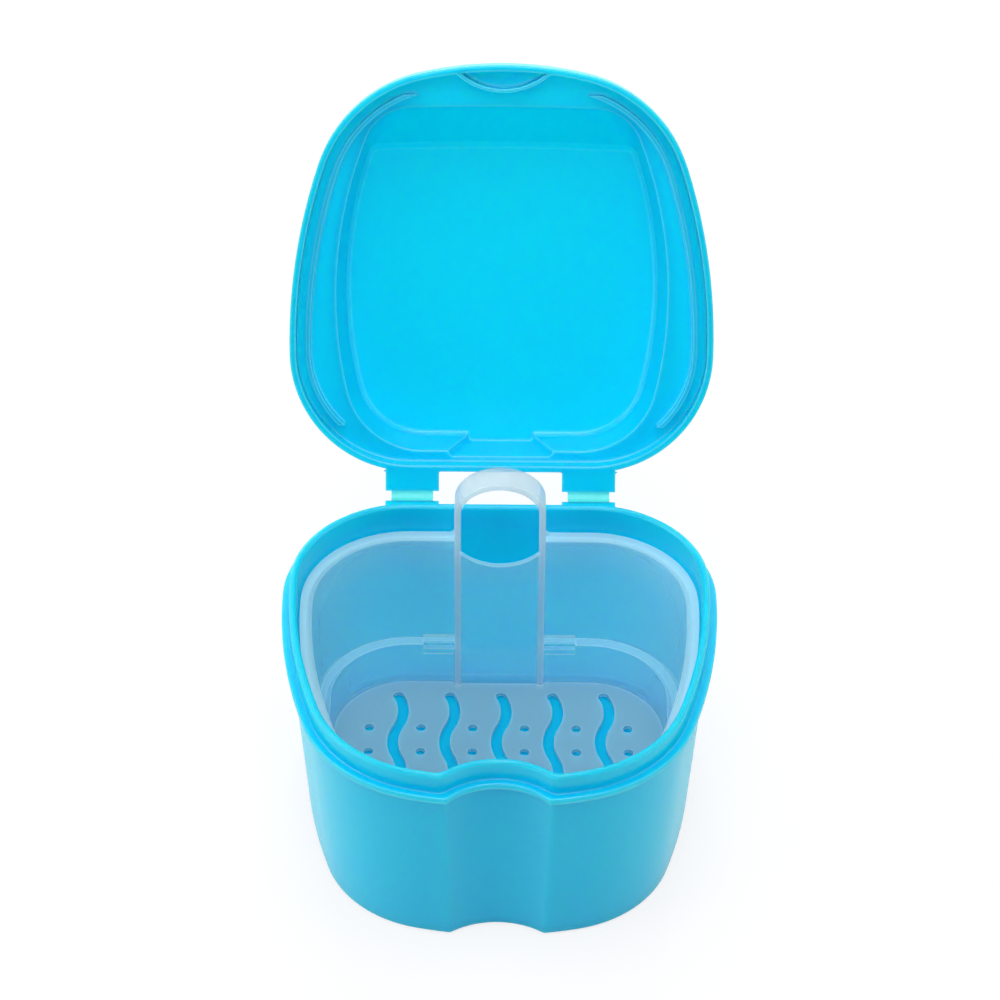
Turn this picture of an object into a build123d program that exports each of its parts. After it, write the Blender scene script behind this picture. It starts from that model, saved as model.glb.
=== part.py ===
"""Denture bath case: tub, hinged domed lid and lift-out strainer basket.

The tub and the lid are one polypropylene moulding, joined by two thin
living-hinge films.  The basket is a second, frosted moulding that drops into
the tub and is lifted out by its arched handle.

Frame: +X to the right, front (finger notch) towards -Y, hinge towards +Y,
+Z up.  The origin is the middle of the flat bottom that the case stands on.
All sizes are in millimetres.
"""
from build123d import *
import math
import os

os.makedirs("parts", exist_ok=True)

# ---------------------------------------------------------------------------
# Rim outline in plan, measured over the rim flange
# ---------------------------------------------------------------------------
RIM_WIDTH = 90.0            # side to side
RIM_DEPTH = 86.8            # hinge edge to front edge
SIDE_CREST = 27.5           # widest place, from the hinge edge
FRONT_WIDTH = 58.9          # between the bows of the two sides, at the front edge
FRONT_RADIUS = 78.6         # bow of the front
REAR_CORNER_RADIUS = 25.8
FRONT_CORNER_RADIUS = 29.3

# Finger notch in the middle of the front
NOTCH_RADIUS = 14.0
NOTCH_DEPTH = 5.1
NOTCH_EDGE_RADIUS = 1.2     # edges of the notch on the outside
NOTCH_FLOW_RADIUS = 3.5     # the same edges on the lip, the cavity and the basket

# ---------------------------------------------------------------------------
# Tub
# ---------------------------------------------------------------------------
TUB_HEIGHT = 42.5           # bottom to the top face of the rim flange
FLANGE_THICKNESS = 1.3
FLANGE_OVERHANG = 1.3       # flange edge beyond the wall below it
TUB_WALL = 1.8
TUB_FLOOR = 1.6
TUB_TAPER = 2.9             # draft of the wall from the flange to the bottom
NOTCH_TAPER = 1.35          # the same for the steeper wall of the finger notch
TUB_BOTTOM_BREAK = 0.6      # chamfer round the bottom
LIP_HEIGHT = 4.5            # upright sealing lip above the flange
LIP_WALL = 1.5
LIP_EDGE_BREAK = 0.5        # chamfer on both top edges of the lip

# ---------------------------------------------------------------------------
# Living hinge: a strap on each half and a thin film between the two straps
# ---------------------------------------------------------------------------
HINGE_SPACING = 37.7        # centre to centre of the two hinges
STRAP_WIDTH = 11.4
STRAP_LENGTH = 4.25         # beyond the flange edge
STRAP_ROOT_RADIUS = 0.4
FILM_WIDTH = 8.9
FILM_LENGTH = 2.4
FILM_THICKNESS = 0.4
OPEN_ANGLE = 118.0          # the lid as modelled, from closed

# ---------------------------------------------------------------------------
# Lid
# ---------------------------------------------------------------------------
LID_GAP = 0.3               # closed lid above the flange
LIP_CLEARANCE = 0.3         # lid skirt outside the lip
SKIRT_WALL = 1.3
SHELF_CLEARANCE = 0.4       # closed shelf above the lip
LID_WALL = 1.6
LID_SHOULDER_BREAK = 1.3    # chamfer between the skirt and the shelf
DOME_DEPTH = 18.25          # rim plane of the lid to the ceiling of the dome
DOME_SIDE_MARGIN = 9.7      # mouth of the dome, from the lid's edge
DOME_REAR_MARGIN = 3.75
DOME_FRONT_MARGIN = 9.1
DOME_CREST = 37.2           # widest place of the mouth, from the hinge edge
DOME_FRONT_WIDTH = 51.6     # between the bows of its sides, at the front of the mouth
DOME_FRONT_RADIUS = 600.0   # the front of the mouth is nearly straight
DOME_REAR_CORNER = 16.4
DOME_FRONT_CORNER = 10.5
DOME_SIDE_DRAFT = 1.75      # how far each wall leans in up to the ceiling
DOME_REAR_DRAFT = 0.65
DOME_FRONT_DRAFT = 9.6
DOME_CORNER_DRAFT = 8.0     # how much smaller the front corners are at the ceiling
DOME_CEILING_BREAK = 0.8    # chamfer between the walls and the ceiling
RECESS_CLEARANCE = 1.1      # pocket in the dome's rear wall, behind the handle
RECESS_SIDE_CLEARANCE = 1.6  # the same beside the handle, at the mouth
RECESS_NARROWING = 4.1      # how far its sides lean in up to the ceiling
RIB_INSET = 3.4             # guide ribs inside the lip, outer face
RIB_WALL = 0.9
RIB_FRONT_END = 80.3        # ends of the ribs, from the hinge edge
RIB_REAR_END = 9.6
RIB_SETBACK = 1.6           # rib edges short of the lid's rim plane
LIFT_WALL = 0.7             # curved wall behind the thumb lift

# ---------------------------------------------------------------------------
# Basket
# ---------------------------------------------------------------------------
BASKET_CLEARANCE = 0.5      # rim inside the lip
BASKET_DROP = 6.4           # rim below the top of the lip
BASKET_LIFT = 0.3           # underside above the tub's floor
BASKET_RIM_WIDTH = 2.5
BASKET_RIM_THICKNESS = 1.2
BASKET_WALL = 1.2
BASKET_FLOOR = 0.9
BASKET_UPPER_DRAFT = 0.8    # upper wall, rim to step
STEP_HEIGHT = 11.4          # step in the wall, above the basket's underside
STEP_WIDTH = 2.4
BASKET_LOWER_DRAFT = 0.4    # lower wall, step to floor
BASKET_BOTTOM_BREAK = 0.7   # chamfer under the floor
BASKET_RIM_BREAK = 0.6      # chamfer on the rim's inner edge
HANDLE_WIDTH = 19.2
HANDLE_BAND = 1.3           # thickness of the handle's band
HANDLE_REACH = 5.9          # depth of the band, front to back
HANDLE_LEG_HEIGHT = 9.4     # straight legs above the rim
HANDLE_ARCH_RISE = 8.4
HANDLE_ROOT_RADIUS = 1.4
PANEL_DROP = 1.3            # corners of the panel's top edge, below the rim
PANEL_LEAN = 0.8            # the panel comes forwards towards the floor
WINDOW_SAG = 3.4            # dip of the panel's top edge
PAD_WIDTH = 6.8             # raised pads on the step beside the handle
PAD_RISE = 0.8
PAD_PROUD = 0.35
PAD_DEPTH = 3.2

# Drain pattern of the basket's floor
DRAIN_PITCH = 11.1
SLOT_COUNT = 5
SLOT_OFFSET = 0.6           # the slots lie this far to the right of the holes' middle line
SLOT_WIDTH = 2.35
SLOT_WAVE = 1.05            # sideways swing of the slots
SLOT_WAVELENGTH = 18.6
SLOT_REAR_MARGIN = 13.2     # rear ends of the slots, from the hinge edge
SLOT_FRONT_MARGIN = 19.5    # front ends, from the front edge
SLOT_CREST_MARGIN = 19.2    # first crest of the wave, from the hinge edge
HOLE_DIAMETER = 2.1
HOLE_ROWS = 6
HOLE_ROW_PITCH = 7.3
HOLE_REAR_MARGIN = 24.3     # first row, from the hinge edge

# ---------------------------------------------------------------------------
# Places that follow from the sizes above
# ---------------------------------------------------------------------------
def bow_radius(reach, swell):
    """Radius of a bow that moves sideways by swell over its reach from the crest."""
    return (reach**2 + swell**2) / (2 * swell)


Y_REAR = RIM_DEPTH / 2
Y_FRONT = -RIM_DEPTH / 2
SIDE_RADIUS = bow_radius(RIM_DEPTH - SIDE_CREST, (RIM_WIDTH - FRONT_WIDTH) / 2)
DOME_WIDTH = RIM_WIDTH - 2 * DOME_SIDE_MARGIN
DOME_SIDE_RADIUS = bow_radius(
    RIM_DEPTH - DOME_FRONT_MARGIN - DOME_CREST, (DOME_WIDTH - DOME_FRONT_WIDTH) / 2)
LIP_INSET = SKIRT_WALL + LIP_CLEARANCE
CAVITY_INSET = LIP_INSET + LIP_WALL
LIP_TOP = TUB_HEIGHT + LIP_HEIGHT
NOTCH_Y = Y_FRONT + NOTCH_DEPTH - NOTCH_RADIUS

LID_PLANE = TUB_HEIGHT + LID_GAP
SHELF_Z = LIP_TOP + SHELF_CLEARANCE
SHELF_TOP = SHELF_Z + LID_WALL
CEILING_Z = LID_PLANE + DOME_DEPTH
LID_TOP = CEILING_Z + LID_WALL

HINGE_Y = Y_REAR + STRAP_LENGTH + FILM_LENGTH / 2
HINGE_Z = TUB_HEIGHT + LID_GAP / 2

BASKET_RIM_INSET = CAVITY_INSET + BASKET_CLEARANCE
BASKET_TOP = LIP_TOP - BASKET_DROP
BASKET_BOTTOM = TUB_FLOOR + BASKET_LIFT
BASKET_FLOOR_TOP = BASKET_BOTTOM + BASKET_FLOOR
STEP_Z = BASKET_BOTTOM + STEP_HEIGHT
UPPER_INSET = BASKET_RIM_INSET + BASKET_RIM_WIDTH
STEP_INSET = UPPER_INSET + BASKET_UPPER_DRAFT
LOWER_INSET = STEP_INSET + STEP_WIDTH
FOOT_INSET = LOWER_INSET + BASKET_LOWER_DRAFT
HANDLE_BACK = Y_REAR - BASKET_RIM_INSET
HANDLE_FRONT = HANDLE_BACK - HANDLE_REACH
ARCH_Z = BASKET_TOP + HANDLE_LEG_HEIGHT
HANDLE_TOP = ARCH_Z + HANDLE_ARCH_RISE
FAR = RIM_WIDTH + RIM_DEPTH  # longer than anything in plan, for cutting blocks


# ---------------------------------------------------------------------------
# Plan outlines
# ---------------------------------------------------------------------------
def pillow(width, y_rear, y_front, side_r, y_crest, front_r, rear_corner, front_corner):
    """Bowed four-sided outline: straight rear, bowed sides, bowed front."""
    centre_x = width / 2 - side_r
    shape = Pos(centre_x, y_crest) * Circle(side_r)
    shape &= Pos(-centre_x, y_crest) * Circle(side_r)
    shape &= Pos(0, y_front + front_r) * Circle(front_r)
    shape &= Pos(0, y_rear - FAR / 2) * Rectangle(2 * FAR, FAR)
    ranked = shape.vertices().sort_by(Axis.Y)
    shape = fillet(ranked[-2:], rear_corner)
    ranked = shape.vertices().sort_by(Axis.Y)
    return fillet(ranked[:2], front_corner)


def rim_outline(inset):
    """The rim's outline, moved inwards by inset, without the finger notch."""
    return pillow(
        RIM_WIDTH - 2 * inset,
        Y_REAR - inset,
        Y_FRONT + inset,
        SIDE_RADIUS - inset,
        Y_REAR - SIDE_CREST,
        FRONT_RADIUS - inset,
        REAR_CORNER_RADIUS - inset,
        FRONT_CORNER_RADIUS - inset,
    )


def prism(outline, z_low, z_high):
    """Straight body of an outline between two heights."""
    return extrude(Pos(0, 0, z_low) * outline, z_high - z_low)


def drafted(inset_low, z_low, inset_high, z_high):
    """Body inside the rim's outline, its inset changing evenly between two heights."""
    low = (Pos(0, 0, z_low) * rim_outline(inset_low)).face()
    high = (Pos(0, 0, z_high) * rim_outline(inset_high)).face()
    lean = inset_low - inset_high
    rise = Vector(0, 0, z_high - z_low)
    walls = []
    for edge in low.outer_wire().edges():
        start, end = edge @ 0, edge @ 1
        if edge.geom_type == GeomType.CIRCLE:
            centre = edge.arc_center
            slant = Edge.make_line(start, start + (start - centre).normalized() * lean + rise)
            turn = math.degrees(edge.length / edge.radius)
            if (start - centre).cross(end - centre).Z < 0:
                turn = -turn
            walls.append(Face.revolve(slant, turn, Axis(centre, (0, 0, 1))))
        else:
            shift = Vector(0, math.copysign(lean, start.Y), 0) + rise
            walls.append(Face(Wire.make_polygon([start, end, end + shift, start + shift])))
    return Solid(Shell(walls + [low, high]))


def notched(stations, edge_radius):
    """Body with the finger notch down its front, from the bottom up.

    Each station is a height with the insets of the wall and of the notch there.
    """
    body, cutter = Part(), Part()
    for (z_low, low, notch_low), (z_high, high, notch_high) in zip(stations, stations[1:]):
        body += drafted(low, z_low, high, z_high)
        size = (NOTCH_RADIUS + notch_low, NOTCH_RADIUS + notch_high, z_high - z_low)
        stage = Cylinder(size[0], size[2]) if notch_low == notch_high else Cone(*size)
        cutter += Pos(0, NOTCH_Y, (z_low + z_high) / 2) * stage
    body -= cutter
    upright = body.edges().filter_by(lambda e: abs((e @ 0).Z - (e @ 1).Z) > edge_radius / 10)
    upright = upright.sort_by(lambda e: abs(e.center().X))
    return fillet(upright[:2 * len(stations) - 2], edge_radius)


def notched_plate(inset, edge_radius, z_low, z_high):
    """Straight body between two heights, its edge inset from the rim's outline all round."""
    return notched([(z_low, inset, inset), (z_high, inset, inset)], edge_radius)


def block(x_low, x_high, y_low, y_high, z_low, z_high):
    """Rectangular block given by its limits."""
    size = Box(x_high - x_low, y_high - y_low, z_high - z_low)
    centre = ((x_low + x_high) / 2, (y_low + y_high) / 2, (z_low + z_high) / 2)
    return Pos(*centre) * size


# ---------------------------------------------------------------------------
# Living hinge
# ---------------------------------------------------------------------------
def strap(x_centre, z_low, z_high):
    """Hinge strap behind the rim, flaring into the rim at its root."""
    half = STRAP_WIDTH / 2
    y_end = Y_REAR + STRAP_LENGTH
    y_root = Y_REAR - SKIRT_WALL
    plan = Pos(x_centre, (y_root + y_end) / 2) * Rectangle(STRAP_WIDTH, y_end - y_root)
    for side in (-1, 1):
        corner = Pos(x_centre + side * (half + STRAP_ROOT_RADIUS / 2), Y_REAR + STRAP_ROOT_RADIUS / 2)
        flare = corner * Rectangle(STRAP_ROOT_RADIUS, STRAP_ROOT_RADIUS)
        hollow = Pos(x_centre + side * (half + STRAP_ROOT_RADIUS), Y_REAR + STRAP_ROOT_RADIUS)
        plan += flare - hollow * Circle(STRAP_ROOT_RADIUS)
    return prism(plan, z_low, z_high)


def hinge_film(x_centre):
    """Thin film bent between the two straps, as it lies with the lid open."""
    drop = (LID_GAP + FILM_THICKNESS) / 2
    reach = FILM_LENGTH / 2
    start = Vector(0, HINGE_Y - reach, HINGE_Z - drop)
    turn = math.radians(180 - OPEN_ANGLE)
    along = Vector(0, math.cos(turn), math.sin(turn))
    normal = Vector(0, math.sin(turn), -math.cos(turn))
    end = Vector(0, HINGE_Y, HINGE_Z) + along * reach + normal * drop
    path = TangentArc(start, end, tangent=(0, 1, 0))
    profile = Plane(origin=start, x_dir=(1, 0, 0), z_dir=(0, 1, 0))
    film = sweep(profile * Rectangle(FILM_WIDTH, FILM_THICKNESS), path=path)
    return Pos(x_centre, 0, 0) * film


# ---------------------------------------------------------------------------
# Tub
# ---------------------------------------------------------------------------
def make_tub():
    flange_low = TUB_HEIGHT - FLANGE_THICKNESS
    foot = FLANGE_OVERHANG + TUB_TAPER
    notch_foot = FLANGE_OVERHANG + NOTCH_TAPER
    outside = [(0, foot, notch_foot), (flange_low, FLANGE_OVERHANG, FLANGE_OVERHANG)]
    body = notched(outside, NOTCH_EDGE_RADIUS)
    body = chamfer(body.faces().sort_by(Axis.Z)[0].edges(), TUB_BOTTOM_BREAK)

    flange = notched_plate(0, NOTCH_EDGE_RADIUS, flange_low, TUB_HEIGHT)
    lip = notched_plate(LIP_INSET, NOTCH_FLOW_RADIUS, TUB_HEIGHT, LIP_TOP)
    tub = body + flange + lip

    cavity = [
        (TUB_FLOOR, foot + TUB_WALL, notch_foot + TUB_WALL),
        (flange_low, CAVITY_INSET, CAVITY_INSET),
        (LIP_TOP, CAVITY_INSET, CAVITY_INSET),
    ]
    tub -= notched(cavity, NOTCH_FLOW_RADIUS)
    lip_edges = tub.faces().sort_by(Axis.Z)[-1].edges()
    tub = chamfer(lip_edges, LIP_EDGE_BREAK)
    for side in (-1, 1):
        tub += strap(side * HINGE_SPACING / 2, flange_low, TUB_HEIGHT)
    return tub


# ---------------------------------------------------------------------------
# Lid, modelled closed and then turned open about the hinge
# ---------------------------------------------------------------------------
def dome_section(wall, z, inset):
    """Outline of the dome at a height, grown by wall and moved inwards by inset."""
    level = (z - SHELF_Z) / (CEILING_Z - SHELF_Z)
    move = inset - wall
    side = move + DOME_SIDE_DRAFT * level
    return Pos(0, 0, z) * pillow(
        DOME_WIDTH - 2 * side,
        Y_REAR - DOME_REAR_MARGIN - DOME_REAR_DRAFT * level - move,
        Y_FRONT + DOME_FRONT_MARGIN + DOME_FRONT_DRAFT * level + move,
        DOME_SIDE_RADIUS - side,
        Y_REAR - DOME_CREST,
        DOME_FRONT_RADIUS,
        DOME_REAR_CORNER - side,
        DOME_FRONT_CORNER - DOME_CORNER_DRAFT * level - move,
    )


def dome(wall, z_top):
    """Body of the dome: walls that each lean in by their own draft, and a broken top edge."""
    z_break = z_top - DOME_CEILING_BREAK
    sections = [
        dome_section(wall, SHELF_Z, 0),
        dome_section(wall, z_break, 0),
        dome_section(wall, z_top, DOME_CEILING_BREAK),
    ]
    return loft(sections, ruled=True)


def handle_recess(wall):
    """Pocket for the basket's handle, narrowing up to the ceiling; wall grows it outwards."""
    half = HANDLE_WIDTH / 2 + RECESS_SIDE_CLEARANCE + wall
    y_back = HANDLE_BACK + RECESS_CLEARANCE + wall
    y_front = HANDLE_FRONT - DOME_REAR_MARGIN
    height = CEILING_Z - SHELF_Z
    top = CEILING_Z + wall
    growth = (top - SHELF_Z) / height
    shapes = []
    for z, level in ((SHELF_Z, 0), (top, growth)):
        side = half - RECESS_NARROWING * level
        rear = y_back - DOME_REAR_DRAFT * level
        shape = Pos(0, (y_front + rear) / 2, z) * Rectangle(2 * side, rear - y_front)
        shapes.append(fillet(shape.vertices().group_by(Axis.Y)[-1], RECESS_CLEARANCE))
    return loft(shapes, ruled=True)


def make_lid():
    crown = prism(rim_outline(0), LID_PLANE, SHELF_TOP)
    crown = chamfer(crown.faces().sort_by(Axis.Z)[-1].edges(), LID_SHOULDER_BREAK)
    crown -= prism(rim_outline(SKIRT_WALL), LID_PLANE, SHELF_Z)

    outer = dome(LID_WALL, LID_TOP)
    inner = dome(0, CEILING_Z)
    lid = crown + outer + handle_recess(LID_WALL)
    lid -= inner + handle_recess(0)

    ribs = rim_outline(RIB_INSET) - rim_outline(RIB_INSET + RIB_WALL)
    run = Pos(0, Y_REAR - (RIB_FRONT_END + RIB_REAR_END) / 2)
    ribs &= run * Rectangle(FAR, RIB_FRONT_END - RIB_REAR_END)
    lid += prism(ribs, LID_PLANE + RIB_SETBACK, SHELF_Z)

    lift = Pos(0, NOTCH_Y) * (Circle(NOTCH_RADIUS + LIFT_WALL) - Circle(NOTCH_RADIUS))
    lift &= rim_outline(SKIRT_WALL / 2)
    lid += prism(lift, LID_PLANE, SHELF_Z)

    for side in (-1, 1):
        lid += strap(side * HINGE_SPACING / 2, LID_PLANE, LID_PLANE + FLANGE_THICKNESS)
    return lid.rotate(Axis((0, HINGE_Y, HINGE_Z), (1, 0, 0)), -OPEN_ANGLE)


# ---------------------------------------------------------------------------
# Basket
# ---------------------------------------------------------------------------
def basket_shape(wall, z_bottom):
    """Stepped cup of the basket: its inside, or its outside with a grown wall."""
    def station(z, inset):
        return z, inset - wall, inset - wall

    lower = notched(
        [station(z_bottom, FOOT_INSET), station(STEP_Z, LOWER_INSET)], NOTCH_FLOW_RADIUS)
    upper = notched(
        [station(STEP_Z - wall, STEP_INSET), station(BASKET_TOP, UPPER_INSET)], NOTCH_FLOW_RADIUS)
    return lower, upper


def column(half, y_front, y_back):
    """Upright body as wide as the handle, its front leaning forwards towards the floor."""
    profile = Polyline(
        (y_front - PANEL_LEAN, BASKET_BOTTOM), (y_back, BASKET_BOTTOM),
        (y_back, BASKET_TOP), (y_front, BASKET_TOP), close=True)
    return extrude(Plane.YZ * make_face(profile), half, both=True)


def handle_profile(half, z_low, rise):
    """Arched outline of the handle in the XZ plane."""
    legs = block(-half, half, HANDLE_FRONT, HANDLE_BACK, z_low, ARCH_Z)
    arch = Plane.XZ * (Pos(0, ARCH_Z) * Ellipse(half, rise))
    arch = extrude(Pos(0, HANDLE_BACK, 0) * arch, HANDLE_REACH)
    return legs + arch


def wavy_slot(x_centre):
    """Outline of one wavy drain slot, each half wave an arc."""
    y_rear = Y_REAR - SLOT_REAR_MARGIN - SLOT_WIDTH / 2
    y_front = Y_FRONT + SLOT_FRONT_MARGIN + SLOT_WIDTH / 2
    half_wave = SLOT_WAVELENGTH / 2
    bend = bow_radius(half_wave / 2, SLOT_WAVE)

    def waves(y):
        """Half waves in front of the first crest at a place along the slot."""
        return round((Y_REAR - SLOT_CREST_MARGIN - y) / half_wave)

    def place(n, y, offset):
        """Point beside half wave n, level with the centre line at y."""
        side = 1 if n % 2 == 0 else -1
        along = y - (Y_REAR - SLOT_CREST_MARGIN - n * half_wave)
        across = math.sqrt(bend**2 - along**2)
        scale = 1 + side * offset / bend
        return Vector(
            x_centre + side * (SLOT_WAVE - bend + across * scale),
            y + along * (scale - 1),
        )

    half = SLOT_WIDTH / 2
    edges, ends = [], []
    for offset in (-half, half):
        for n in range(waves(y_rear), waves(y_front) + 1):
            y_crest = Y_REAR - SLOT_CREST_MARGIN - n * half_wave
            y_from = min(y_rear, y_crest + half_wave / 2)
            y_to = max(y_front, y_crest - half_wave / 2)
            trio = [place(n, y, offset) for y in (y_from, (y_from + y_to) / 2, y_to)]
            edges.append(ThreePointArc(*trio))
    for n, y, side in ((waves(y_rear), y_rear, 1), (waves(y_front), y_front, -1)):
        left, right = place(n, y, -half), place(n, y, half)
        outward = (right - left).cross(Vector(0, 0, -side))
        edges.append(ThreePointArc(left, (left + right) / 2 + outward / 2, right))
    return make_face(edges)


def drain_pattern():
    """All drain openings of the floor, as one sketch."""
    pattern = Sketch()
    for i in range(SLOT_COUNT):
        pattern += wavy_slot(SLOT_OFFSET + (i - (SLOT_COUNT - 1) / 2) * DRAIN_PITCH)
    for i in range(SLOT_COUNT + 1):
        x = (i - SLOT_COUNT / 2) * DRAIN_PITCH
        for row in range(HOLE_ROWS):
            y = Y_REAR - HOLE_REAR_MARGIN - row * HOLE_ROW_PITCH
            pattern += Pos(x, y) * Circle(HOLE_DIAMETER / 2)
    return pattern


def make_basket():
    lower, upper = basket_shape(BASKET_WALL, BASKET_BOTTOM)
    lower = chamfer(lower.faces().sort_by(Axis.Z)[0].edges(), BASKET_BOTTOM_BREAK)
    outside = lower + upper
    inside_low, inside_high = basket_shape(0, BASKET_FLOOR_TOP)
    inside = inside_low + inside_high

    rim_low = BASKET_TOP - BASKET_RIM_THICKNESS
    rim = notched_plate(BASKET_RIM_INSET, NOTCH_FLOW_RADIUS, rim_low, BASKET_TOP)
    envelope = outside + rim
    basket = envelope - inside
    rim_edges = basket.faces().sort_by(Axis.Z)[-1].inner_wires()[0].edges()
    basket = chamfer(rim_edges, BASKET_RIM_BREAK)

    # Channel of the handle: the rear wall steps forwards between two cheeks
    half = HANDLE_WIDTH / 2
    slot = half - HANDLE_BAND
    panel_back = HANDLE_FRONT + BASKET_WALL
    basket += column(half, HANDLE_FRONT, HANDLE_BACK) & envelope
    basket -= column(slot, panel_back, Y_REAR)

    # Handle: the cheeks run on above the rim and meet in an arch
    band = handle_profile(half, BASKET_TOP - BASKET_RIM_THICKNESS, HANDLE_ARCH_RISE)
    gap = handle_profile(slot, BASKET_TOP - BASKET_RIM_THICKNESS, HANDLE_ARCH_RISE - HANDLE_BAND)
    basket += band - gap
    roots = basket.edges().filter_by(Axis.Y).filter_by(
        lambda e: abs(abs(e.center().X) - half) < BASKET_CLEARANCE
        and abs(e.center().Z - BASKET_TOP) < BASKET_CLEARANCE)
    basket = fillet(roots, HANDLE_ROOT_RADIUS)

    # The panel's top edge hangs in a shallow arc between the cheeks
    sag_radius = bow_radius(slot, WINDOW_SAG)
    window_low = BASKET_TOP - PANEL_DROP - WINDOW_SAG
    dip = Plane.XZ * (Pos(0, window_low + sag_radius) * Circle(sag_radius))
    dip = extrude(Pos(0, panel_back, 0) * dip, BASKET_WALL + PANEL_LEAN)
    basket -= dip & block(-slot, slot, HANDLE_FRONT - PANEL_LEAN, panel_back, STEP_Z, BASKET_TOP)

    # Raised pads on the step, one at each side of the handle
    y_step = Y_REAR - LOWER_INSET - PAD_PROUD
    y_wall = Y_REAR - STEP_INSET
    for side in (-1, 1):
        x_in = side * half
        x_out = side * (half + PAD_WIDTH)
        pad = block(min(x_in, x_out), max(x_in, x_out), y_step, y_wall,
                    STEP_Z + PAD_RISE - PAD_DEPTH, STEP_Z + PAD_RISE)
        basket += pad

    drains = prism(drain_pattern(), BASKET_BOTTOM - BASKET_LIFT, BASKET_FLOOR_TOP)
    return basket - drains


# ---------------------------------------------------------------------------
# Write one STEP file for each piece
# ---------------------------------------------------------------------------
NODES = {
    "case_base": make_tub(),
    "lid": make_lid(),
    "hinge_web_left": hinge_film(-HINGE_SPACING / 2),
    "hinge_web_right": hinge_film(HINGE_SPACING / 2),
    "basket": make_basket(),
}
for name, shape in NODES.items():
    solids = shape.solids()
    piece = solids[0] if len(solids) == 1 else Compound(children=list(solids))
    export_step(piece, f"parts/{name}.step")
    print(name, len(solids), "solid(s), volume", round(shape.volume, 1))
print("closed height", round(LID_TOP, 2), "hinge axis y, z", HINGE_Y, HINGE_Z)
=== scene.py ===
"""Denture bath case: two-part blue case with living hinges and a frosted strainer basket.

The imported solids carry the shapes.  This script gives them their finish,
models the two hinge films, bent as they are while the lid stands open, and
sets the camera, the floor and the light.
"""

import math

import bpy
from mathutils import Matrix, Vector


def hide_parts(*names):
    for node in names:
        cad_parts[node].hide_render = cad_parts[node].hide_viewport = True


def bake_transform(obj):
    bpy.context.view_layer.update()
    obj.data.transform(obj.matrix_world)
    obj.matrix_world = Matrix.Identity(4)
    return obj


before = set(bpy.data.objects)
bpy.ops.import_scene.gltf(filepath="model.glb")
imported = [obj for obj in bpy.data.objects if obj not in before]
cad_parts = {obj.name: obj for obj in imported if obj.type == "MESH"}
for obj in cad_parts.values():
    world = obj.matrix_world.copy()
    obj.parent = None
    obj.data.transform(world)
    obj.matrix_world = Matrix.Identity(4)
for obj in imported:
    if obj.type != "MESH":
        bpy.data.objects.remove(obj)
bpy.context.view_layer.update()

MM = 0.001

# ---------------------------------------------------------------------------
# Moulded plastic
# ---------------------------------------------------------------------------
EDGE_RADIUS = 0.9 * MM     # roundness that the light sees on moulded edges
TEXTURE_DEPTH = 0.2 * MM   # of the texture that the mould leaves
TUB_TINT = ("#00c5fe", "#00c8ff")
LID_TINT = ("#00c4f6", "#00c8fa")
# How far the tint is paled along moulded edges: a painted highlight
TUB_PAINTED_EDGE_HIGHLIGHT = 0.5
LID_PAINTED_EDGE_HIGHLIGHT = 0.8

# ---------------------------------------------------------------------------
# Basket, in millimetres
# ---------------------------------------------------------------------------
STRAINER_TOP = 3.5         # everything lower is under the strainer floor
BASKET_TOP = 40.6          # top of the rim
HANDLE_WIDTH = 19.2
HANDLE_BAND = 1.3          # thickness of the handle's upright bands
HANDLE_FRONT = 32.5        # the bands lie behind this
# Height, and how much more the plastic hides there than it does by its slant:
# strainer floor, lower wall, step, upper wall, rim, handle
MILKINESS = ((2.7, 0.07), (3.3, 0.06), (11.6, 0.05), (13.6, 0.0), (30.0, 0.0),
             (38.6, 0.09), (39.6, 0.18), (41.0, 0.2), (43.6, 0.25), (52.0, 0.28))
MILKINESS_SPAN = 60.0
CHEEK_MILKINESS = 0.45

# ---------------------------------------------------------------------------
# Living hinges
# ---------------------------------------------------------------------------
HINGE_Y = 48.85 * MM
HINGE_Z = 42.65 * MM
HINGE_SPACING = 37.7 * MM
FILM_WIDTH = 8.9 * MM
FILM_LENGTH = 2.4 * MM
FILM_THICKNESS = 0.4 * MM
FILM_STEPS = 12
LID_GAP = 0.3 * MM
OPEN_ANGLE = math.radians(118.0)
FILM_TURN = math.pi - OPEN_ANGLE   # how far the film bends while the lid stands open

# ---------------------------------------------------------------------------
# Camera
# ---------------------------------------------------------------------------
CAMERA_TARGET = Vector((-0.07, 51.63, 39.5)) * MM
CAMERA_DISTANCE = 800.0 * MM
CAMERA_ELEVATION = math.radians(40.2)
CAMERA_ROLL = math.radians(0.44)
CAMERA_LENS = 133.9
CAMERA_SENSOR = 36.0
CAMERA_NEAREST = 0.05

# ---------------------------------------------------------------------------
# Floor, room and lamps, in metres and watts
# ---------------------------------------------------------------------------
WHITE = "#ffffff"
PAPER_GREY = "#e0e0e0"
PAPER_GLOW = 0.8           # share of the white that needs no light; the rest takes the shadow
FLOOR_SIZE = 1.6
FLOOR_DROP = 0.2 * MM
ROOM_LEVEL = 0.25          # above, beside and behind the object
ROOM_LEVEL_IN_FRONT = 0.04
TOWARDS_CAMERA = (0.0, -0.95, 0.3)
PANEL_LEVEL = 0.5          # tall white panels, seen only by gloss
BASKET_MIDDLE = (0, 0.03, 0.04)
HINGE_MIDDLE = (0, 0.06, 0.07)
SOFTBOXES = (              # name, place, aim, side of the square, power
    ("softbox_top", (0.0, 0.03, 1.1), BASKET_MIDDLE, 0.6, 3.9),
    ("softbox_camera_side", (0.0, -0.55, 0.95), BASKET_MIDDLE, 0.6, 3.6),
    ("softbox_left", (-0.95, -0.1, 0.5), BASKET_MIDDLE, 1.0, 4.9),
    ("softbox_right", (0.95, -0.1, 0.5), BASKET_MIDDLE, 1.0, 2.25),
    ("softbox_back", (0.0, 1.0, 0.36), HINGE_MIDDLE, 0.6, 8.6),
)

# Numbers of a Mix node's colour sockets
MIX_A, MIX_B, MIX_RESULT = 6, 7, 2


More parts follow.
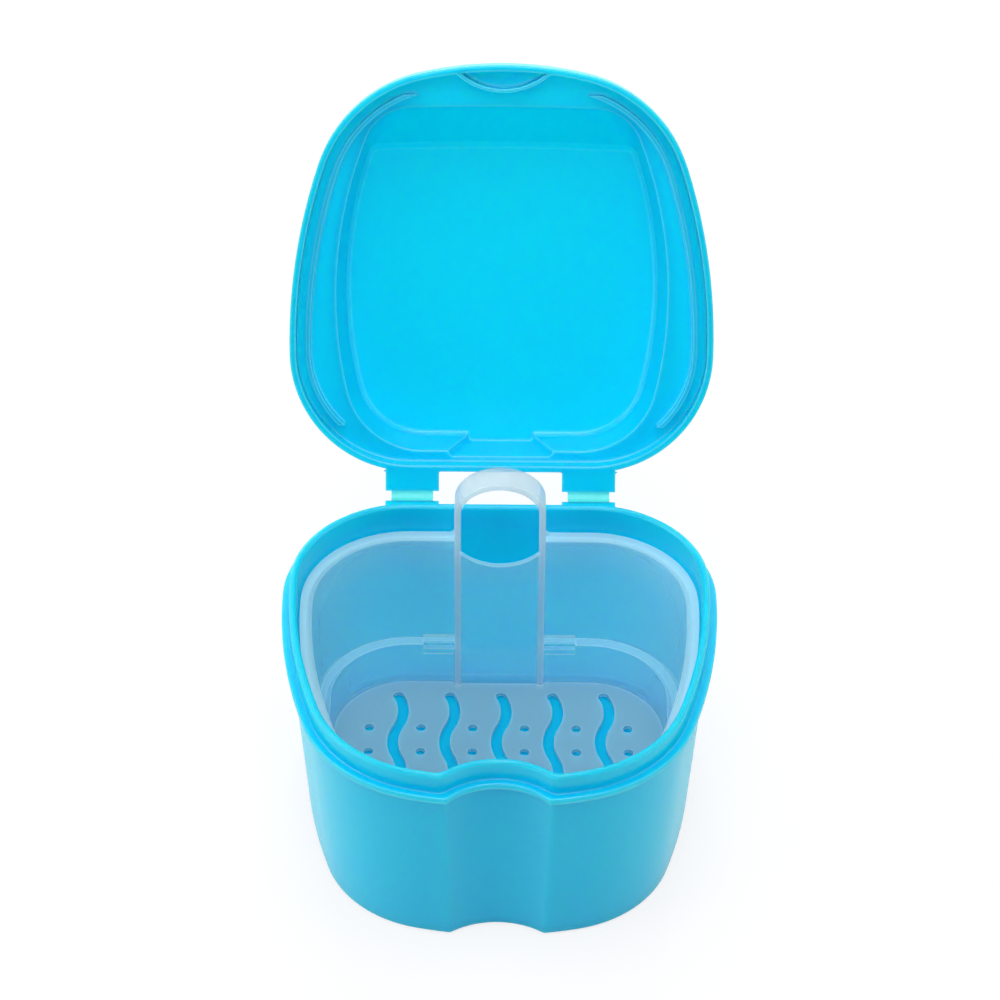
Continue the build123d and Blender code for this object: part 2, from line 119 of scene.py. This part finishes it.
# ---------------------------------------------------------------------------
# Small tools
# ---------------------------------------------------------------------------
def colour(code):
    """Linear RGBA of an sRGB hex value."""
    parts = [int(code[i:i + 2], 16) / 255 for i in (1, 3, 5)]
    linear = [p / 12.92 if p <= 0.04045 else ((p + 0.055) / 1.055) ** 2.4 for p in parts]
    return (*linear, 1.0)


def add(tree, kind, settings=None, links=None):
    """Add a node, set its sockets (by name or number) or properties, and link its inputs."""
    node = tree.nodes.new(kind)
    for name, value in (settings or {}).items():
        if isinstance(name, int) or name in node.inputs:
            node.inputs[name].default_value = value
        else:
            setattr(node, name, value)
    for name, source in (links or {}).items():
        tree.links.new(source, node.inputs[name])
    return node


def new_material(name):
    """Empty node material with its output node."""
    material = bpy.data.materials.new(name)
    material.use_nodes = True
    tree = material.node_tree
    tree.nodes.clear()
    return material, tree, add(tree, "ShaderNodeOutputMaterial")


def mould_texture(tree, place, scale):
    """Fine relief that the steel mould leaves in the plastic."""
    grain = add(tree, "ShaderNodeTexNoise", {"Scale": scale, "Detail": 2.0},
                {"Vector": place.outputs["Object"]})
    return add(tree, "ShaderNodeBump", {"Strength": 0.05, "Distance": TEXTURE_DEPTH},
               {"Height": grain.outputs["Fac"]})


def moulded_edges(tree):
    """The normal rounded at the moulded edges, the flat one, and how far the two agree."""
    rounded = add(tree, "ShaderNodeBevel", {"samples": 8, "Radius": EDGE_RADIUS})
    flat = add(tree, "ShaderNodeNewGeometry")
    match = add(tree, "ShaderNodeVectorMath", {"operation": "DOT_PRODUCT"},
                {0: rounded.outputs["Normal"], 1: flat.outputs["Normal"]})
    return rounded, flat, match


# ---------------------------------------------------------------------------
# Materials
# ---------------------------------------------------------------------------
def blue_polypropylene(name, tint_ends, painted_edge_highlight):
    """Injection-moulded blue polypropylene: saturated, glossy, and light shines through its walls.

    The last argument is how pale its edges are painted: a painted highlight along them.
    """
    material, tree, output = new_material(name)
    place = add(tree, "ShaderNodeTexCoord")
    # The melt's flow leaves the tint a shade uneven over some 30 mm
    flow = add(tree, "ShaderNodeTexNoise", {"Scale": 35.0, "Detail": 2.0},
               {"Vector": place.outputs["Object"]})
    dark, light = tint_ends
    tint = add(tree, "ShaderNodeMix",
               {"data_type": "RGBA", MIX_A: colour(dark), MIX_B: colour(light)},
               {"Factor": flow.outputs["Fac"]})
    # The polished mould's texture: about 1 mm apart, coarser than real, so that it shows
    bump = mould_texture(tree, place, 900.0)
    # Moulded edges are slightly round for the gloss, and the tint is paled along them: a painted
    # highlight
    edge, _, match = moulded_edges(tree)
    edge_highlight_share = add(tree, "ShaderNodeMapRange",
                 {"From Min": 1.0, "From Max": 0.85, "To Min": 0.0, "To Max": painted_edge_highlight},
                 {"Value": match.outputs["Value"]})
    pale = add(tree, "ShaderNodeMix", {"data_type": "RGBA", MIX_B: colour("#54deff")},
               {"Factor": edge_highlight_share.outputs["Result"], MIX_A: tint.outputs[MIX_RESULT]})
    # Thin ribs and edges let less light in, or they would turn dark
    inward = add(tree, "ShaderNodeMapRange",
                 {"From Min": 1.0, "From Max": 0.85, "To Min": 1.0, "To Max": 1.0 - painted_edge_highlight},
                 {"Value": match.outputs["Value"]})
    shader = add(tree, "ShaderNodeBsdfPrincipled",
                 {"Roughness": 0.5, "IOR": 1.49, "Specular IOR Level": 0.0,
                  "Subsurface Radius": (0.1, 1.0, 0.6), "Subsurface Scale": 6.0 * MM,
                  "Coat Weight": 0.8, "Coat Roughness": 0.26, "Coat IOR": 1.49},
                 {"Base Color": pale.outputs[MIX_RESULT],
                  "Subsurface Weight": inward.outputs["Result"],
                  "Normal": bump.outputs["Normal"], "Coat Normal": edge.outputs["Normal"]})
    tree.links.new(shader.outputs["BSDF"], output.inputs["Surface"])
    return material


def frosted_polypropylene():
    """Natural polypropylene without pigment: milky, lets the blue of the tub through."""
    material, tree, output = new_material("frosted_polypropylene")
    place = add(tree, "ShaderNodeTexCoord")
    axes = add(tree, "ShaderNodeSeparateXYZ", None, {"Vector": place.outputs["Object"]})
    # The spark-eroded mould's texture: just under 1 mm apart, coarser than real, so that it shows
    bump = mould_texture(tree, place, 1200.0)

    # It hides more where it is seen at a slant
    slant = add(tree, "ShaderNodeLayerWeight", {"Blend": 0.5})
    haze = add(tree, "ShaderNodeMapRange",
               {"From Min": 0.0, "From Max": 1.0, "To Min": 0.11, "To Max": 0.32},
               {"Value": slant.outputs["Facing"]})

    # It hides more where it is thick, which goes by height
    height = add(tree, "ShaderNodeMapRange",
                 {"From Min": 0.0, "From Max": MILKINESS_SPAN * MM}, {"Value": axes.outputs["Z"]})
    thick = add(tree, "ShaderNodeValToRGB", None, {"Fac": height.outputs["Result"]})
    stops = thick.color_ramp.elements
    while len(stops) < len(MILKINESS):
        stops.new(1.0)
    for stop, (z, share) in zip(stops, MILKINESS):
        stop.position = z / MILKINESS_SPAN
        stop.color = (share, share, share, 1.0)

    # Cheeks of the handle: upright bands beside the panel, seen through their whole depth
    aside = add(tree, "ShaderNodeMath", {"operation": "ABSOLUTE"}, {0: axes.outputs["X"]})
    on_band = add(tree, "ShaderNodeMath",
                  {"operation": "COMPARE", 1: (HANDLE_WIDTH - HANDLE_BAND) / 2 * MM,
                   2: (HANDLE_BAND / 2 + 0.1) * MM},
                  {0: aside.outputs["Value"]})
    behind = add(tree, "ShaderNodeMapRange",
                 {"From Min": (HANDLE_FRONT - 0.1) * MM, "From Max": (HANDLE_FRONT + 0.1) * MM},
                 {"Value": axes.outputs["Y"]})
    cheek = add(tree, "ShaderNodeMath", {"operation": "MULTIPLY"},
                {0: on_band.outputs["Value"], 1: behind.outputs["Result"]})
    cheek_cover = add(tree, "ShaderNodeMath", {"operation": "MULTIPLY", 1: CHEEK_MILKINESS},
                      {0: cheek.outputs["Value"]})

    # Light from behind comes out of the cheeks and of the arch above the rim
    arch = add(tree, "ShaderNodeMapRange",
               {"From Min": (BASKET_TOP + 0.5) * MM, "From Max": (BASKET_TOP + 2.0) * MM},
               {"Value": axes.outputs["Z"]})
    glowing = add(tree, "ShaderNodeMath", {"operation": "MAXIMUM"},
                  {0: cheek.outputs["Value"], 1: arch.outputs["Result"]})

    # Edges and faces that look up get more milky cover: a painted highlight for the light that
    # falls on them
    _, flat, match = moulded_edges(tree)
    edge_highlight_share = add(tree, "ShaderNodeMapRange",
                 {"From Min": 1.0, "From Max": 0.8, "To Min": 0.0, "To Max": 0.1},
                 {"Value": match.outputs["Value"]})
    up = add(tree, "ShaderNodeSeparateXYZ", None, {"Vector": flat.outputs["Normal"]})
    painted_top_highlight = add(tree, "ShaderNodeMapRange",
                     {"From Min": 0.5, "From Max": 0.9, "To Min": 0.0, "To Max": 0.06},
                     {"Value": up.outputs["Z"]})

    cover = haze.outputs["Result"]
    for share in (thick.outputs["Color"], cheek_cover.outputs["Value"],
                  painted_top_highlight.outputs["Result"], edge_highlight_share.outputs["Result"]):
        total = add(tree, "ShaderNodeMath", {"operation": "ADD", "use_clamp": True},
                    {0: cover, 1: share})
        cover = total.outputs["Value"]
    shader = add(tree, "ShaderNodeBsdfPrincipled",
                 {"Base Color": colour("#d6fbff"), "Roughness": 0.35, "IOR": 1.49,
                  "Subsurface Radius": (0.8, 1.0, 1.0), "Subsurface Scale": 8.0 * MM},
                 {"Subsurface Weight": glowing.outputs["Value"],
                  "Normal": bump.outputs["Normal"], "Alpha": cover})

    # Milky plastic scatters light onwards, so its wall darkens little of what lies behind it,
    # but the tub under the strainer floor gets less
    above = add(tree, "ShaderNodeMapRange",
                {"From Min": STRAINER_TOP * MM, "From Max": (STRAINER_TOP + 2.5) * MM},
                {"Value": axes.outputs["Z"]})
    passed = add(tree, "ShaderNodeMix",
                 {"data_type": "RGBA", MIX_A: colour("#4c7890"), MIX_B: colour("#f6fbff")},
                 {"Factor": above.outputs["Result"]})
    path = add(tree, "ShaderNodeLightPath")
    clear = add(tree, "ShaderNodeBsdfTransparent", None, {"Color": passed.outputs[MIX_RESULT]})
    pass_on = add(tree, "ShaderNodeMixShader", None,
                  {"Fac": path.outputs["Is Shadow Ray"], 1: shader.outputs["BSDF"],
                   2: clear.outputs["BSDF"]})
    tree.links.new(pass_on.outputs["Shader"], output.inputs["Surface"])
    return material


def living_hinge_film():
    """The case's polypropylene pressed down to a film: pale where it is stretched."""
    material, tree, output = new_material("living_hinge_film")
    place = add(tree, "ShaderNodeTexCoord")
    # Stretch marks just over 1 mm apart
    strain = add(tree, "ShaderNodeTexNoise", {"Scale": 800.0, "Detail": 1.0},
                 {"Vector": place.outputs["Object"]})
    tint = add(tree, "ShaderNodeMix",
               {"data_type": "RGBA", MIX_A: colour("#40f6f0"), MIX_B: colour("#66fffa")},
               {"Factor": strain.outputs["Fac"]})
    shader = add(tree, "ShaderNodeBsdfPrincipled",
                 {"Roughness": 0.3, "IOR": 1.49, "Transmission Weight": 0.4},
                 {"Base Color": tint.outputs[MIX_RESULT]})
    tree.links.new(shader.outputs["BSDF"], output.inputs["Surface"])
    return material


def studio_paper():
    """White paper to the eye, in gloss and through plastic, and a pale grey to other light."""
    material, tree, output = new_material("studio_paper")
    path = add(tree, "ShaderNodeLightPath")
    seen = add(tree, "ShaderNodeMath", {"operation": "MAXIMUM"},
               {0: path.outputs["Is Camera Ray"], 1: path.outputs["Is Glossy Ray"]})
    shown = add(tree, "ShaderNodeMath", {"operation": "MAXIMUM"},
                {0: seen.outputs["Value"], 1: path.outputs["Is Transmission Ray"]})
    white = add(tree, "ShaderNodeBsdfDiffuse", {"Color": colour(WHITE)})
    glow = add(tree, "ShaderNodeEmission", {"Color": colour(WHITE), "Strength": 1.0})
    shaded = add(tree, "ShaderNodeMixShader", {"Fac": PAPER_GLOW},
                 {1: white.outputs["BSDF"], 2: glow.outputs["Emission"]})
    grey = add(tree, "ShaderNodeBsdfDiffuse", {"Color": colour(PAPER_GREY)})
    paper = add(tree, "ShaderNodeMixShader", None,
                {"Fac": shown.outputs["Value"], 1: grey.outputs["BSDF"],
                 2: shaded.outputs["Shader"]})
    tree.links.new(paper.outputs["Shader"], output.inputs["Surface"])
    return material


def finish_node(name, material):
    """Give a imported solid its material."""
    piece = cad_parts[name]
    for slot in piece.material_slots:
        slot.material = material
    if not piece.material_slots:
        piece.data.materials.append(material)


finish_node("case_base", blue_polypropylene("blue_polypropylene_tub", TUB_TINT, TUB_PAINTED_EDGE_HIGHLIGHT))
finish_node("lid", blue_polypropylene("blue_polypropylene_lid", LID_TINT, LID_PAINTED_EDGE_HIGHLIGHT))
finish_node("basket", frosted_polypropylene())
FILM = living_hinge_film()


# ---------------------------------------------------------------------------
# Living hinges: thin films, bent as they are while the lid stands open
# ---------------------------------------------------------------------------
def hinge_film_piece(name, x_centre):
    """Film drawn from the end of the tub's strap round to the lid's strap."""
    drop = (LID_GAP + FILM_THICKNESS) / 2
    reach = FILM_LENGTH / 2
    start = Vector((x_centre, HINGE_Y - reach, HINGE_Z - drop))
    # Radius of the arc that leaves the tub's strap level and meets the lid's strap
    across = reach + reach * math.cos(FILM_TURN) + drop * math.sin(FILM_TURN)
    radius = across / math.sin(FILM_TURN)
    bpy.ops.object.select_all(action="DESELECT")
    bpy.ops.mesh.primitive_plane_add(size=1.0, location=start)
    piece = bpy.context.object
    piece.name = name
    bpy.ops.object.mode_set(mode="EDIT")
    bpy.ops.mesh.select_all(action="SELECT")
    bpy.ops.transform.resize(value=(FILM_WIDTH, FILM_THICKNESS, 1.0), center_override=start)
    bpy.ops.transform.rotate(value=math.pi / 2, orient_axis="X", center_override=start)
    bpy.ops.mesh.spin(steps=FILM_STEPS, angle=-FILM_TURN,
                      center=start + Vector((0, 0, radius)), axis=(1, 0, 0))
    bpy.ops.mesh.select_all(action="SELECT")
    bpy.ops.mesh.normals_make_consistent(inside=False)
    bpy.ops.object.mode_set(mode="OBJECT")
    bpy.ops.object.transform_apply(location=True, rotation=True, scale=True)
    piece.data.materials.append(FILM)
    end = start + Vector((0, radius * math.sin(FILM_TURN), radius * (1 - math.cos(FILM_TURN))))
    return piece, start, end


for side, node_name in ((-1, "hinge_web_left"), (1, "hinge_web_right")):
    film, film_start, film_end = hinge_film_piece(
        node_name.replace("web", "film"), side * HINGE_SPACING / 2)
    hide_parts(node_name)
    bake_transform(film)

# ---------------------------------------------------------------------------
# Camera
# ---------------------------------------------------------------------------
camera_data = bpy.data.cameras.new("camera")
camera_data.sensor_width = CAMERA_SENSOR
camera_data.lens = CAMERA_LENS
camera_data.clip_start = CAMERA_NEAREST
camera = bpy.data.objects.new("camera", camera_data)
bpy.context.scene.collection.objects.link(camera)
sight = Vector((0, math.cos(CAMERA_ELEVATION), -math.sin(CAMERA_ELEVATION)))
camera_place = Matrix.Translation(CAMERA_TARGET - sight * CAMERA_DISTANCE)
camera_turn = sight.to_track_quat("-Z", "Y").to_matrix().to_4x4()
camera.matrix_world = camera_place @ camera_turn @ Matrix.Rotation(CAMERA_ROLL, 4, "Z")
bpy.context.scene.camera = camera

# ---------------------------------------------------------------------------
# Floor
# ---------------------------------------------------------------------------
bpy.ops.object.select_all(action="DESELECT")
bpy.ops.mesh.primitive_plane_add(size=FLOOR_SIZE, location=(0, 0, -FLOOR_DROP))
floor = bpy.context.object
floor.name = "studio_floor"
floor.data.materials.append(studio_paper())


# ---------------------------------------------------------------------------
# Room and lamps
# ---------------------------------------------------------------------------
def studio_room():
    """Room that is bright above, beside and behind the object, and darker on the camera's side."""
    world = bpy.context.scene.world or bpy.data.worlds.new("studio")
    bpy.context.scene.world = world
    world.use_nodes = True
    tree = world.node_tree
    tree.nodes.clear()
    output = add(tree, "ShaderNodeOutputWorld")
    path = add(tree, "ShaderNodeLightPath")
    place = add(tree, "ShaderNodeTexCoord")
    towards = add(tree, "ShaderNodeVectorMath", {"operation": "DOT_PRODUCT", 1: TOWARDS_CAMERA},
                  {0: place.outputs["Generated"]})
    level = add(tree, "ShaderNodeMapRange",
                {"From Min": 0.3, "From Max": 0.9,
                 "To Min": ROOM_LEVEL, "To Max": ROOM_LEVEL_IN_FRONT,
                 "interpolation_type": "SMOOTHSTEP"},
                {"Value": towards.outputs["Value"]})
    # Tall white panels left and right draw the bright lines along moulded edges
    across = add(tree, "ShaderNodeSeparateXYZ", None, {"Vector": place.outputs["Generated"]})
    aside = add(tree, "ShaderNodeMath", {"operation": "ABSOLUTE"}, {0: across.outputs["X"]})
    panel = add(tree, "ShaderNodeMapRange",
                {"From Min": 0.4, "From Max": 0.7, "To Min": 0.0, "To Max": PANEL_LEVEL},
                {"Value": aside.outputs["Value"]})
    mirrored = add(tree, "ShaderNodeMath", {"operation": "MULTIPLY"},
                   {0: panel.outputs["Result"], 1: path.outputs["Is Glossy Ray"]})
    strength = add(tree, "ShaderNodeMath", {"operation": "ADD"},
                   {0: level.outputs["Result"], 1: mirrored.outputs["Value"]})
    soft = add(tree, "ShaderNodeBackground", {"Color": colour(WHITE)},
               {"Strength": strength.outputs["Value"]})
    # The eye sees plain white behind the object
    backdrop = add(tree, "ShaderNodeBackground", {"Color": colour(WHITE), "Strength": 1.0})
    surroundings = add(tree, "ShaderNodeMixShader", None,
                       {"Fac": path.outputs["Is Camera Ray"], 1: soft.outputs["Background"],
                        2: backdrop.outputs["Background"]})
    tree.links.new(surroundings.outputs["Shader"], output.inputs["Surface"])


studio_room()

for name, place, aim, size, power in SOFTBOXES:
    lamp_data = bpy.data.lights.new(name, "AREA")
    lamp_data.shape = "SQUARE"
    lamp_data.size = size
    lamp_data.energy = power
    lamp = bpy.data.objects.new(name, lamp_data)
    bpy.context.scene.collection.objects.link(lamp)
    lamp.location = place
    lamp.rotation_euler = (Vector(aim) - Vector(place)).to_track_quat("-Z", "Y").to_euler()

bpy.context.scene.view_settings.view_transform = "Standard"
